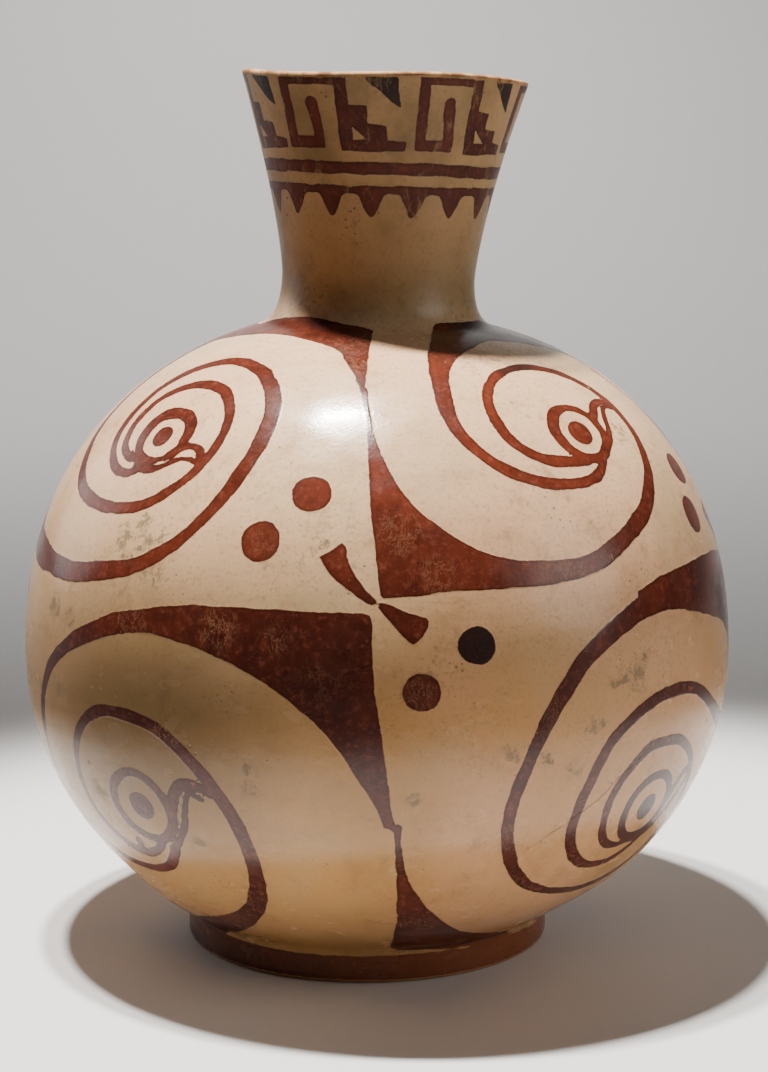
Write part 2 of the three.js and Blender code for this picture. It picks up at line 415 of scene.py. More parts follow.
def lower_right_scroll(s, turn):
    eye = (turn + 50.5, 85.5)
    ring = [(0, 12.3, 3.4), (45, 12.4, 3.4), (90, 12.3, 3.6), (135, 12.4, 3.8), (180, 11.8, 3.6),
            (225, 11.8, 3.6), (270, 12.4, 3.6), (315, 12.4, 3.4), (360, 12.3, 3.4)]
    upper_bill = [(268, 13.4, 3), (290, 14.6, 3), (315, 15.8, 3), (335, 17, 3), (352, 19.4, 3),
                  (364, 22.6, 2.8), (372, 26, 2.4)]
    lower_bill = [(330, 12.8, 3.4), (352, 13, 4), (368, 14.8, 4), (380, 18.2, 3.8), (384, 22.4, 3.4),
                  (379, 26.4, 2.8)]
    outer_arm = [(88, 72.4, 8.6), (94, 72.2, 8.4), (101, 71.5, 7.6), (112, 70.4, 6.6),
                 (125, 69.5, 6), (136, 67.6, 5.8), (150, 65.6, 5), (165, 63.6, 4.6), (173, 61.6, 4.4),
                 (181, 58.8, 4.2), (195, 53, 4), (210, 47.5, 3.8), (225, 42.6, 3.6), (240, 39, 3.6),
                 (255, 37, 3.6), (270, 35.7, 3.6), (288, 34, 3.6), (315, 32, 3.6), (345, 30, 3.6),
                 (375, 27.6, 3.6), (405, 25.3, 3.6), (427, 24.8, 3.6), (450, 24.6, 3.8), (470, 25.6, 4),
                 (495, 24.8, 3.8), (517, 23.9, 3.6), (540, 21.7, 3.4), (562, 20, 3.2), (585, 17.9, 3),
                 (600, 16.3, 2.8), (615, 14.8, 2.6), (630, 13.2, 2.4)]
    inner_arm = [(-74, 80, 4), (-66, 77, 6.4), (-56, 73, 8), (-41, 69, 7.6), (-22, 69, 7), (-4, 72.6, 6.4),
                 (7, 71, 6.2), (14, 64.6, 6.4), (21, 56.2, 6.4), (30, 49.4, 5.8), (45, 44.4, 4.6),
                 (67, 42.7, 4.4), (90, 41.3, 4.4), (112, 40.8, 4.4), (135, 40.5, 4.4), (150, 38.4, 4.4),
                 (165, 36.7, 4.4), (180, 35.1, 4.2), (195, 32.9, 4), (210, 30.2, 3.8), (225, 27.8, 3.6),
                 (240, 25.2, 3.4), (255, 22.8, 3.2), (270, 19.7, 3), (285, 17, 2.8), (300, 14.6, 2.6)]
    lines = [s.arm(eye, line) for line in (ring, upper_bill, lower_bill, outer_arm, inner_arm)]
    return [s.dot(*eye, 4.8, 0.94), *lines, far_lower_triangle(s, turn), foot_horn(s, turn)]


def bow_tie(s, turn):
    upper = s.patch(
        turn,
        [(-1.3, 164), (-3, 166.2), (-5.4, 169.9), (-7.6, 174.7), (-8.8, 178.2)],
        [(-7.4, 179.7), (-6.3, 181.3), (-5.5, 182.9)],
        [(-4.6, 181), (-4.4, 178.2), (-3.3, 173.8), (-1.8, 169.2), (0, 165.2)],
        [(0.2, 164.2), (-0.3, 163.4)],
    )
    lower = s.patch(
        turn,
        [(1.4, 164.1), (2.8, 162.9), (5, 161), (7.7, 158.9)],
        [(7.5, 156.4), (6.8, 153.6), (5.2, 150.9)],
        [(4, 153.6), (2.6, 157), (1.4, 160), (0.3, 162.8)],
        [(0.3, 163.7), (0.6, 164.2)],
    )
    return [upper, lower]


def dots(s, turn, askew=0.0):
    return [s.dot(turn - 11 - 1.8 * askew, 198.8 - 2.3 * askew, 6.4, 1.04),
            s.dot(turn - 18.5 + 1.1 * askew, 182.5 - 1.8 * askew, 6.5, 0.98),
            s.dot(turn + 6.5, 136.5, 6, 1.0)]


def sooty_dot(s, turn):
    return s.dot(turn + 14.7, 150.3, 6.1, 1.03)


def teeth(s):
    """A level stripe with teeth hanging from it, and the hollows between them rounded by the brush."""
    hand_spacing = [-69, -48.7, -26.2, -5.6, 16, 37.5, 60.6]
    points = hand_spacing + [60.6 + 20.95 * i for i in range(1, 11)]
    sway = 0.5 * np.sin(np.radians(s.turn * 2)) + 0.3 * np.sin(np.radians(s.turn * 5 + 40))
    stripe = np.abs(s.climb - 329 - 0.4 * sway) - 1.25
    row = np.full(s.turn.shape, FAR)
    for i, turn in enumerate(points):
        slant = (0.3, -0.6, 0.2, 0.5, -0.3)[i % 5]
        tooth = s.patch(
            turn,
            [(8.8, 330)],
            [(6.8, 327), (4.4, 323.6), (1.9 + slant, 320.5), (0.3 + slant, 319.8)],
            [(-1.2 + slant, 320.4), (-3.4, 323.2), (-5.9, 326.8), (-8.2, 330)],
        )
        row = np.minimum(row, tooth)
    return blended(stripe, row, 1.6)


def neck_stripe(s):
    sway = 0.5 * np.sin(np.radians(s.turn * 2 + 120)) + 0.35 * np.sin(np.radians(s.turn * 4.0))
    return np.abs(s.climb - 336.2 - 0.5 * sway) - 2.15


def step_and_hook(s, turn, wide, slip):
    """One repeat of the band under the lip: a squared hook, and a flight of steps with a light window."""
    def block(*corners):
        return s.patch(turn, *[[(a * wide, b)] for a, b in corners])

    hook = [
        block((0, 366), (5, 366), (6, 342.6), (0.4, 343)),
        block((0, 367), (30, 367), (29.5, 364.2), (14, 364.6), (0, 364)),
        block((0.6, 346.8), (19.6, 346.4), (20.2, 342.6), (0.6, 342.6)),
        s.level_stroke([(turn + x * wide, y, width) for x, y, width in
                        ((15.4, 358.4, 4.4), (16.2, 354, 4.2), (17.2, 349, 3.8), (17.8, 345, 3.6))]),
    ]
    post = block((25.9, 367), (31.4, 367), (32, 357), (33.4, 342.3), (27.6, 341.8), (26.8, 350))
    steps = block(
        (31, 357.8 + slip), (39.4, 357.4 + slip), (39.7, 351.5 + slip / 2), (48, 350.9 + slip / 2),
        (48.7, 346.1), (56.8, 345.6), (56.8, 342.3), (28.4, 341.8),
    )
    window = block((33, 350.2), (40.4, 345.9), (33.2, 345.6))
    return [*hook, post, np.maximum(steps, -window)]


def sooty_corner(s, turn, wide):
    """The dark hanging corner at the end of a flight of steps."""
    return s.patch(
        turn,
        [(52 * wide, 367)],
        [(52.6 * wide, 361), (53.6 * wide, 356.6)],
        [(50 * wide, 358.4), (46 * wide, 361), (42 * wide, 364), (38 * wide, 367)],
    )


# Repeats of the band under the lip: where each starts, how wide it is, how far its steps slip up
NECK_BAND = ((-105, 1.0, 0), (-46.6, 1.0, 0), (13.8, 0.91, -1.3),
             (68.8, 1.03, 0.4), (131, 1.03, -0.4), (193.2, 1.03, 0.3))


def paint(turn, climb):
    """Distances to the nearest edge of any paint, and to that of the paint the fire has blackened."""
    s = Surface(turn, climb)
    red = [teeth(s), neck_stripe(s)]
    red += upper_left_scroll(s, 0)
    for turn_by in (0, 86, 174):
        red += upper_right_scroll(s, turn_by)
    red.append(upper_triangle(s, -98, 7))
    red += lower_right_scroll(s, 0)
    for turn_by in (0, 174.6, 262.6):
        red += lower_left_scroll(s, turn_by)
    red += [foot_horn(s, turn_by, sweep) for turn_by, sweep in ((86.6, 1), (174.6, 1), (262.6, 0.88))]
    for turn_by, askew in CROSSINGS:
        red += [crossing_line(s, turn_by), *dots(s, turn_by, askew), *bow_tie(s, turn_by)]
    red.append(s.dot(-45.3, 73.4, 1.8, 0.8))
    for turn_by, wide, slip in NECK_BAND:
        red += step_and_hook(s, turn_by, wide, slip)
    around = np.radians(s.turn)
    wander = 0.25 * np.sin(3 * around) + 0.2 * np.sin(7 * around + 0.5) - 0.5 * np.sin(around)
    bare = s.dot(66, 12.6, 13, 3.2)
    red.append(np.maximum(np.where(s.climb < 14, s.climb - 9.8 - wander, FAR), -bare))
    black = [sooty_dot(s, turn_by) for turn_by, _ in CROSSINGS]
    black += [sooty_corner(s, turn_by, wide) for turn_by, wide, _ in NECK_BAND]
    return np.minimum.reduce(red + black), np.minimum.reduce(black)


# ---- The jar's mesh ----
def spaced(curve, lengths, marks):
    """Points of a curve at these distances along it."""
    curve = np.array(curve)
    return np.column_stack([np.interp(marks, lengths, curve[:, 0]), np.interp(marks, lengths, curve[:, 1])])


def along(curve):
    return np.concatenate([[0.0], np.cumsum(np.hypot(*np.diff(np.array(curve), axis=0).T))])


def rows_of_clay():
    """The jar's section, from the middle of its underside round its outside and back to the middle of its
    floor. Each row is a radius, a height and a climb, which goes on over the lip and down the inside."""
    ring_inside, edge = FOOT_RADIUS - FOOT_WALL, FOOT_EDGE_ROUND
    under = [(0, FOOT_RECESS), (18, FOOT_RECESS), (36, FOOT_RECESS), (ring_inside - edge, FOOT_RECESS),
             (ring_inside - 0.4, FOOT_RECESS - 0.5), (ring_inside, FOOT_RECESS - edge),
             (ring_inside + 0.3, 0.6), (ring_inside + edge, 0), (ring_inside + 5, 0),
             (FOOT_RADIUS - edge, 0), (FOOT_RADIUS - 0.4, 0.4)]
    rows = [(r, z, -9.0) for r, z in under]
    marks = np.concatenate([
        [edge, 3, 5, 6.8, 7.8, 8.6, 9.2, 9.8, 10.4, 11, 11.6, 12.6],
        np.linspace(14.4, 278, 120),
        np.linspace(280, 296, 13),
        np.linspace(298, 316, 8),
        np.linspace(317.6, LIP_CLIMB, 34),
    ])
    rows += [(r, z, c) for (r, z), c in zip(spaced(OUTER, CLIMB, marks), marks)]
    lip = lip_curve()
    rows += [(r, z, LIP_CLIMB + 0.8 * (i + 1)) for i, (r, z) in enumerate(lip)]
    inner = inner_curve()
    far = along(inner)
    marks = np.concatenate([np.linspace(0, 90, 9), np.linspace(104, far[-1] - 6, 15), [far[-1]]])
    rows += [(r, z, LIP_CLIMB + 8 + c) for (r, z), c in zip(spaced(inner, far, marks), marks)]
    return rows


def set_co(bm, co):
    for v, c in zip(bm.verts, co):
        v.co = c


def measure(bm, climb_layer):
    """Each vertex's turn and climb, before the lean."""
    co = np.array([v.co for v in bm.verts])
    climb = np.array([v[climb_layer] for v in bm.verts])
    turn = np.degrees(np.arctan2(co[:, 0], -co[:, 1]))
    return co, turn, climb


def throw_jar():
    bm = bmesh.new()
    climb_layer = bm.verts.layers.float.new("climb")
    verts = []
    for r, z, c in rows_of_clay():
        v = bm.verts.new((r, 0, z))
        v[climb_layer] = c
        verts.append(v)
    edges = [bm.edges.new(pair) for pair in zip(verts, verts[1:])]
    bmesh.ops.spin(bm, geom=verts + edges, cent=(0, 0, 0), axis=(0, 0, 1), angle=2 * math.pi,
                   steps=TURN_STEPS, use_merge=True, use_normal_flip=False, use_duplicate=False)
    bmesh.ops.remove_doubles(bm, verts=bm.verts, dist=0.0005)
    bmesh.ops.recalc_face_normals(bm, faces=bm.faces)
    # Finer clay where the edges of the painting run
    co, turn, climb = measure(bm, climb_layer)
    outside = (climb > 0) & (climb < LIP_CLIMB - 0.5)
    edge = np.full(len(co), FAR)
    edge[outside] = np.abs(paint(turn[outside], climb[outside])[0])
    bm.verts.ensure_lookup_table()
    bm.verts.index_update()
    fine = [e for e in bm.edges if min(edge[v.index] for v in e.verts) < FINE_WITHIN]
    bmesh.ops.subdivide_edges(bm, edges=fine, cuts=1, use_grid_fill=True, use_only_quads=False)
    # The new vertices go onto the true surface
    co, turn, climb = measure(bm, climb_layer)
    outside = (climb > 0) & (climb < LIP_CLIMB - 0.01)
    a = np.radians(turn)
    r, z = radius_at(climb), height_at(climb)
    true = np.column_stack([r * np.sin(a), -r * np.cos(a), z])
    co[outside] = true[outside]
    set_co(bm, lean(co) * MM)
    bm.normal_update()
    for f in bm.faces:
        f.smooth = True
    mesh = bpy.data.meshes.new("jar_clay")
    bm.to_mesh(mesh)
    bm.free()
    return mesh, turn, climb


def put(mesh, name, values):
    kind, field = ("FLOAT_VECTOR", "vector") if np.ndim(values) == 2 else ("FLOAT", "value")
    layer = mesh.attributes.new(name, kind, "POINT")
    layer.data.foreach_set(field, np.ascontiguousarray(values, np.float32).ravel())


def paint_jar(mesh, turn, climb):
    """Stores what the finish reads: the paint's edges, the fire's blackening with painted shade under the
    neck, stains, cracks and layout lines.
    """
    outside = (climb > 0) & (climb < LIP_CLIMB + 0.01)
    edge, black = np.full(len(turn), FAR), np.full(len(turn), FAR)
    edge[outside], black[outside] = paint(turn[outside], climb[outside])
    s = Surface(turn, climb)
    soot_and_shade = 1 - eased(black, 0.2, 2.5)
    # Partly painted shade: the paint on the shoulder right of the neck is darkened grey-black where the
    # neck's shadow falls
    soot_and_neck_shade = eased(s.turn, 36, 52) * (1 - eased(s.turn, 96, 110))
    soot_and_neck_shade *= eased(s.climb, 262, 276) * (1 - eased(s.climb, 286, 291))
    soot_and_shade = np.maximum(soot_and_shade, 0.85 * soot_and_neck_shade)
    smoked = [(50.5, 85.5, 5, 0.75), (50.5, 85.5, 15, 0.3), (75, 146, 10, 0.5), (42.5, 249, 6, 0.7)]
    for turn_at, climb_at, size, amount in smoked:
        soot_and_shade = np.maximum(soot_and_shade, amount * (1 - eased(s.dot(turn_at, climb_at, size), 0, 5)))
    put(mesh, "paint", edge)
    put(mesh, "soot_and_shade", np.where(outside, soot_and_shade, 0))
    # Grey-green stains on the slip: (turn, climb, size)
    stains = [(-45, 180.5, 3), (-41, 184.5, 2.2), (-40, 178.5, 1.6), (-45, 175, 1.8), (-41.5, 174, 1.4),
              (-37, 180, 1.4), (-60.5, 151.5, 2.6), (-55, 148.5, 1.8), (-58, 125.5, 1.8), (-50.5, 92, 2.8),
              (42.5, 135, 3.2), (39, 134, 1.6), (44, 138, 1.4), (20, 115.5, 2.4), (31, 107, 1.6),
              (-36.5, 169, 2), (-30.5, 79.5, 1.4), (-18.5, 102.5, 1.4), (-18.5, 111, 1.3), (-8, 182, 1.6),
              (5.5, 101, 1.5), (34, 121, 1.8), (26, 112, 1.4), (57.5, 215, 2.4), (150, 130, 4),
              (-140, 190, 4), (120, 205, 3), (-100, 110, 3)]
    near = np.full(len(turn), FAR)
    for turn_at, climb_at, size in stains:
        near = np.minimum(near, s.dot(turn_at, climb_at, size))
    put(mesh, "stain", near)
    # Where the paint is scuffed: (turn, climb, size, amount)
    scuffs = [(-24, 154, 5, 1), (-15, 152, 3, 0.8), (-40, 152, 6, 0.5), (-33, 119, 4, 1), (-8, 140, 5, 0.5),
              (4, 186, 6, 0.5), (9, 172, 5, 0.5), (30, 171, 8, 0.4), (-6, 255, 5, 0.7), (-10, 268, 6, 0.5),
              (6, 136, 4, 0.7), (-18, 182, 3, 0.4), (-20, 80, 4, 0.5), (24, 128, 8, 0.4), (22, 84, 5, 0.5),
              (38, 20, 8, 0.4), (10, 40, 6, 0.4), (-32, 34, 6, 0.5)]
    scuffed = np.zeros(len(turn))
    for turn_at, climb_at, size, amount in scuffs:
        scuffed = np.maximum(scuffed, amount * (1 - eased(s.dot(turn_at, climb_at, size), -2, 4)))
    put(mesh, "scuff", scuffed)
    # Painted shade low on the left: nearness to the middle of a soft dark patch that stands in for shadow
    x, y = s.around(-40, 120)
    put(mesh, "lower_left_shade", 1 - eased(np.hypot(x, y * 1.25), 12, 84))
    # Layout lines scratched before painting: distance to the nearest upright one and to the level one
    up, level = np.full(len(turn), FAR), s.climb - 163.6 - 0.02 * ((s.turn + 180) % 360 - 180)
    for turn_at in LAYOUT_TURNS:
        x, _ = s.around(turn_at + 0.2, 0)
        x = x + 1.4 - 0.012 * (s.climb - 150)
        up = np.where(np.abs(x) < np.abs(up), x, up)
    put(mesh, "layout", np.clip(np.column_stack([up, level, np.zeros(len(turn))]), -FAR, FAR))
    # A hairline crack by the lower right-hand scroll: distance across it and how far along it
    slant, reach = 0.92, 60
    x, y = s.around(37, 96)
    across = x * math.cos(slant) - y * math.sin(slant)
    length = x * math.sin(slant) + y * math.cos(slant)
    put(mesh, "crack", np.clip(np.column_stack([across, length, np.zeros(len(turn))]), -reach, reach))
    put(mesh, "climb", climb)


# ---- The finish ----
class Finish:
    """Builds one material's nodes."""

    def __init__(self, name):
        self.material = bpy.data.materials.new(name)
        self.material.use_nodes = True
        self.tree = self.material.node_tree
        self.shader = self.tree.nodes["Principled BSDF"]
        self.place = self.add("ShaderNodeTexCoord").outputs["Object"]

    def add(self, kind, **settings):
        node = self.tree.nodes.new(kind)
        for key, value in settings.items():
            setattr(node, key, value)
        return node

    def feed(self, socket, value):
        if isinstance(value, bpy.types.NodeSocket):
            self.tree.links.new(value, socket)
        else:
            socket.default_value = value

    def sum(self, kind, a, b=0.0):
        node = self.add("ShaderNodeMath", operation=kind)
        for socket, value in zip(node.inputs, (a, b)):
            self.feed(socket, value)
        return node.outputs[0]

    def times(self, a, b):
        return self.sum("MULTIPLY", a, b)

    def plus(self, a, b):
        return self.sum("ADD", a, b)

    def most(self, a, b):
        return self.sum("MAXIMUM", a, b)

    def read(self, name):
        return self.add("ShaderNodeAttribute", attribute_name=name, attribute_type="GEOMETRY")

    def stretch(self, vector, by, how="Scale"):
        node = self.add("ShaderNodeMapping")
        self.feed(node.inputs["Vector"], vector)
        node.inputs[how].default_value = by
        return node.outputs[0]

    def shift(self, vector, by):
        return self.stretch(vector, by, "Location")

    def flecks(self, scale, size, soft):
        """Small round flecks, each as big as size says at its place. Less than 0 is none."""
        cells = self.add("ShaderNodeTexVoronoi", feature="F1")
        self.feed(cells.inputs["Vector"], self.place)
        cells.inputs["Scale"].default_value = scale
        return self.step(self.sum("SUBTRACT", cells.outputs["Distance"], size), soft, -soft)

    def noise(self, scale, detail, rough, swirl=0.0, vector=None):
        node = self.add("ShaderNodeTexNoise")
        self.feed(node.inputs["Vector"], vector or self.place)
        keys = ("Scale", "Detail", "Roughness", "Distortion")
        for key, entry in zip(keys, (scale, detail, rough, swirl)):
            node.inputs[key].default_value = entry
        return node.outputs["Fac"]

    def step(self, value, low, high, to_low=0.0, to_high=1.0, smooth=True):
        node = self.add("ShaderNodeMapRange", interpolation_type="SMOOTHSTEP" if smooth else "LINEAR")
        keys = ("Value", "From Min", "From Max", "To Min", "To Max")
        for key, entry in zip(keys, (value, low, high, to_low, to_high)):
            self.feed(node.inputs[key], entry)
        return node.outputs[0]

    def mix(self, amount, a, b, blend="MIX"):
        node = self.add("ShaderNodeMix", data_type="RGBA", blend_type=blend)
        self.feed(node.inputs[0], amount)
        self.feed(node.inputs[6], a)
        self.feed(node.inputs[7], b)
        return node.outputs[2]

    def bump(self, height, depth, strength, normal=None):
        node = self.add("ShaderNodeBump")
        node.inputs["Strength"].default_value = strength
        node.inputs["Distance"].default_value = depth
        self.feed(node.inputs["Height"], height)
        if normal is not None:
            self.feed(node.inputs["Normal"], normal)
        return node.outputs[0]


def colour(r, g, b):
    """A linear colour from the usual 0 to 255 values."""
    shares = (v / 255 for v in (r, g, b))
    return (*(((v + 0.055) / 1.055) ** 2.4 if v > 0.04 else v / 12.92 for v in shares), 1.0)


def slip_ground(f, z, clouds, neck, mottle, grain):
    """Cream slip in ochre, rosy and grey-green clouds. Painted light makes it paler up top and tan towards
    the foot, and the neck browner and darker with dark patches, partly as painted shade.
    """
    # Painted light: paler and creamier towards the top under the lamps, darker tan lower down, mixed with
    # random clouds
    shade_low_and_clouds = f.plus(f.step(z, 0.23, 0.075), f.times(f.sum("SUBTRACT", clouds, 0.5), 1.1))
    ground = f.mix(f.step(shade_low_and_clouds, 0, 1, smooth=False), colour(230, 193, 152), colour(172, 128, 78))
    ochre = f.step(f.noise(11, 3, 0.62, vector=f.shift(f.place, (3.1, 0.4, 7.7))), 0.5, 0.72)
    ground = f.mix(f.times(ochre, 0.45), ground, colour(196, 142, 80))
    rosy = f.step(f.noise(7, 2, 0.55, vector=f.shift(f.place, (8.2, 5.3, 1.9))), 0.52, 0.72)
    ground = f.mix(f.times(rosy, 0.4), ground, colour(222, 168, 134))
    green = f.step(f.noise(15, 3, 0.65, vector=f.shift(f.place, (1.7, 9.1, 4.4))), 0.52, 0.74)
    ground = f.mix(f.times(green, 0.4), ground, colour(164, 148, 108))
    # Partly painted shade: the neck under the flaring lip is made browner and darker, with dark patches
    ground = f.mix(f.times(neck, 0.7), ground, colour(166, 130, 80))
    dark_neck_patches = f.noise(26, 4, 0.68, vector=f.shift(f.place, (6.6, 2.9, 5.1)))
    dark_neck_patches = f.times(neck, f.step(dark_neck_patches, 0.42, 0.66, 0, 0.5))
    ground = f.mix(dark_neck_patches, ground, colour(112, 92, 56))
    ground = f.mix(f.step(mottle, 0.5, 0.75, 0, 0.4), ground, colour(176, 136, 92))
    ground = f.mix(f.step(grain, 0.5, 0.78, 0, 0.5), ground, colour(150, 114, 78))
    rubbed = f.noise(1.0, 4, 0.6, vector=f.stretch(f.place, (26, 26, 300)))
    ground = f.mix(f.step(rubbed, 0.5, 0.78, 0, 0.2), ground, colour(166, 128, 90))
    wiped = f.noise(1.0, 4, 0.6, vector=f.stretch(f.place, (130, 130, 9)))
    wiped = f.times(f.step(wiped, 0.5, 0.72), f.step(z, 0.09, 0.03, 0.06, 0.4))
    return f.mix(wiped, ground, colour(150, 104, 60))


def dirty(f, ground, mottle):
    """Fine grime in clouds, smudges, dark specks and pinpricks. Gives the specks too."""
    grime = f.step(f.noise(420, 3, 0.75), 0.52, 0.66)
    grime = f.times(grime, f.step(f.noise(26, 3, 0.65), 0.5, 0.68))
    ground = f.mix(f.times(grime, 0.42), ground, colour(104, 86, 58))
    smeared = f.stretch(f.shift(f.place, (4.4, 2.6, 8.8)), (85, 85, 60))
    smudge = f.step(f.noise(1.0, 4, 0.7, vector=smeared), 0.54, 0.72)
    smudge = f.times(smudge, f.step(mottle, 0.38, 0.62))
    ground = f.mix(f.times(smudge, 0.42), ground, colour(112, 92, 60))
    speck = f.flecks(150, f.step(f.noise(45, 3, 0.6), 0.5, 0.76, -0.03, 0.13), 0.03)
    pin = f.flecks(430, f.step(f.noise(60, 3, 0.6), 0.44, 0.72, -0.04, 0.2), 0.06)
    dark = f.most(speck, f.times(pin, 0.75))
    return f.mix(f.times(dark, 0.8), ground, colour(78, 60, 42)), speck


def stained(f, ground):
    """Grey-green stains, and painted shade low on the left: a soft olive-brown darkening in place of
    shadow. Gives the stains too.
    """
    ragged = f.step(f.noise(330, 3, 0.8), 0.3, 0.7, -5, 5, smooth=False)
    blot = f.step(f.plus(f.read("stain").outputs["Fac"], ragged), 2.2, -2.6)
    ground = f.mix(f.times(blot, 0.7), ground, colour(98, 86, 60))
    # Painted shade: the body low on the left is darkened olive-brown
    painted_shade = f.times(f.read("lower_left_shade").outputs["Fac"], 0.7)
    return f.mix(painted_shade, ground, colour(96, 76, 48)), blot


def scored(f, ground, climb):
    """Layout lines scored into the slip, and a hairline crack. Gives the crack too."""
    lines = f.add("ShaderNodeSeparateXYZ")
    f.feed(lines.inputs[0], f.read("layout").outputs["Vector"])
    waver = f.step(f.noise(30, 2, 0.5), 0.3, 0.7, -0.8, 0.8, smooth=False)
    away = (f.plus(lines.outputs[axis], waver) for axis in ("X", "Y"))
    upright, level = (f.step(f.sum("ABSOLUTE", d), 0.3, 0.08) for d in away)
    broken = f.times(f.step(f.noise(24, 2, 0.5), 0.42, 0.6), f.step(climb, 276, 250))
    score = f.times(f.most(upright, level), broken)
    ground = f.mix(f.times(score, 0.22), ground, colour(150, 118, 82))
    split = f.add("ShaderNodeSeparateXYZ")
    f.feed(split.inputs[0], f.read("crack").outputs["Vector"])
    jog = f.step(f.noise(70, 4, 0.6), 0.3, 0.7, -1.6, 1.6, smooth=False)
    across = f.sum("ABSOLUTE", f.plus(split.outputs["X"], jog))
    ends = f.step(f.sum("ABSOLUTE", split.outputs["Y"]), 34, 24)
    crack = f.times(f.step(across, 0.3, 0.08), ends)
    return f.mix(f.times(crack, 0.65), ground, colour(104, 76, 50)), crack


def brown_red(f, z, across_jar, climb, edge, brushed):
    """Brown-red slip laid on by brush, patchy and streaky in places. As painted light it is lighter up on
    the shoulder and darker lower down.
    """
    pools = f.step(f.noise(24, 3, 0.62), 0.4, 0.7)
    bristle = f.step(f.noise(1.0, 4, 0.68, vector=f.stretch(f.place, (230, 230, 34))), 0.44, 0.72)
    pull = f.add("ShaderNodeCombineXYZ")
    f.feed(pull.inputs[0], f.times(edge, 1.4))
    drift = f.add("ShaderNodeVectorMath", operation="ADD")
    f.feed(drift.inputs[0], f.stretch(f.place, (26, 26, 26)))
    f.feed(drift.inputs[1], pull.outputs[0])
    streak = f.step(f.noise(1.0, 4, 0.6, vector=drift.outputs[0]), 0.45, 0.72)
    streak = f.times(streak, f.step(edge, -3.4, -1.4))
    thin_and_lit = f.plus(f.times(pools, 0.55), f.times(bristle, 0.32))
    thin_and_lit = f.plus(thin_and_lit, f.times(streak, 0.2))
    # Painted light: the light streaks in the paint are made stronger up on the shoulder
    thin_and_lit = f.times(thin_and_lit, f.step(z, 0.06, 0.21, 0.4, 0.95))
    # Painted light: the paint's base colour is lighter up high and darker lower down
    red = f.mix(f.step(z, 0.1, 0.2), colour(66, 28, 19), colour(82, 35, 23))
    red = f.mix(thin_and_lit, red, colour(122, 54, 34))
    pooled = f.noise(38, 4, 0.65, vector=f.shift(f.place, (2.2, 6.1, 3.3)))
    red = f.mix(f.step(pooled, 0.52, 0.7, 0, 0.5), red, colour(54, 23, 17))
    red = f.mix(f.step(f.noise(420, 4, 0.72), 0.48, 0.74, 0, 0.4), red, colour(146, 80, 60))
    red = f.mix(f.step(f.noise(230, 4, 0.7), 0.5, 0.74, 0, 0.45), red, colour(48, 20, 14))
    red = f.mix(f.step(f.plus(brushed, 0.8), 0.5, -0.4, 0.5, 0), red, colour(58, 25, 18))
    footed = f.times(f.step(climb, 12.5, 10), f.step(across_jar, -0.06, 0.05, 0.2, 0.75))
    return f.mix(footed, red, colour(134, 72, 38))


def bare_spots(f, neck):
    """Where the brush skipped or the paint has flaked off."""
    flaking = f.noise(34, 3, 0.6, vector=f.shift(f.place, (5, 5, 5)))
    chips = f.flecks(300, f.step(flaking, 0.55, 0.78, -0.05, 0.2), 0.05)
    dry = f.step(f.noise(620, 4, 0.75), 0.7, 0.76)
    bare = f.most(f.times(chips, 0.6), f.times(dry, 0.35))
    skipped = f.noise(1.0, 4, 0.72, vector=f.stretch(f.place, (240, 240, 90)))
    return f.most(bare, f.times(neck, f.step(skipped, 0.53, 0.7, 0, 0.45)))


def scratched(f, surface, cover):
    """Fine scratches, mostly through the paint, and thin dirt over everything."""
    hair = f.noise(1.0, 4, 0.7, vector=f.stretch(f.place, (330, 330, 40)))
    scratch = f.times(f.step(hair, 0.66, 0.75), f.step(f.noise(30, 2, 0.5), 0.48, 0.62))
    scratch = f.times(scratch, f.step(cover, 0, 1, 0.3, 1, smooth=False))
    tangle = f.noise(1.0, 5, 0.75, 1.6, vector=f.stretch(f.place, (200, 200, 110)))
    tangle = f.step(f.sum("ABSOLUTE", f.sum("SUBTRACT", tangle, 0.5)), 0.022, 0.004)
    scratch = f.most(scratch, f.times(f.read("scuff").outputs["Fac"], tangle))
    surface = f.mix(f.times(scratch, 0.5), surface, colour(186, 142, 106))
    dirt = f.step(f.noise(34, 4, 0.7), 0.55, 0.8, 0, 0.22)
    return f.mix(dirt, surface, colour(120, 96, 66), "MULTIPLY")


def bare_clay(f, surface, climb):
    """Bare clay on the worn lip, the foot's edge, the underside and inside. Gives how bare it is too."""
    rag = f.step(f.noise(120, 3, 0.65), 0.3, 0.7, -1.1, 1.1, smooth=False)
    worn_lip = f.step(f.plus(climb, rag), LIP_CLIMB - 0.2, LIP_CLIMB + 0.9)
    clay = f.mix(f.step(f.noise(90, 3, 0.7), 0.38, 0.62), colour(142, 92, 52), colour(214, 164, 112))
    surface = f.mix(worn_lip, surface, clay)
    under = f.step(f.plus(climb, rag), 0.9, 0.1)
    surface = f.mix(under, surface, f.mix(f.noise(70, 3, 0.65), colour(150, 100, 66), colour(186, 140, 98)))
    within = f.step(climb, LIP_CLIMB + 5, LIP_CLIMB + 11)
    turned = f.noise(1.0, 3, 0.6, vector=f.stretch(f.place, (14, 14, 210)))
    inner = f.mix(f.step(turned, 0.36, 0.66), colour(128, 92, 60), colour(172, 130, 88))
    inner = f.mix(f.step(f.noise(40, 3, 0.7), 0.46, 0.72, 0, 0.6), inner, colour(104, 80, 54))
    bare = f.most(f.most(under, within), worn_lip)
    return f.mix(within, surface, inner), bare


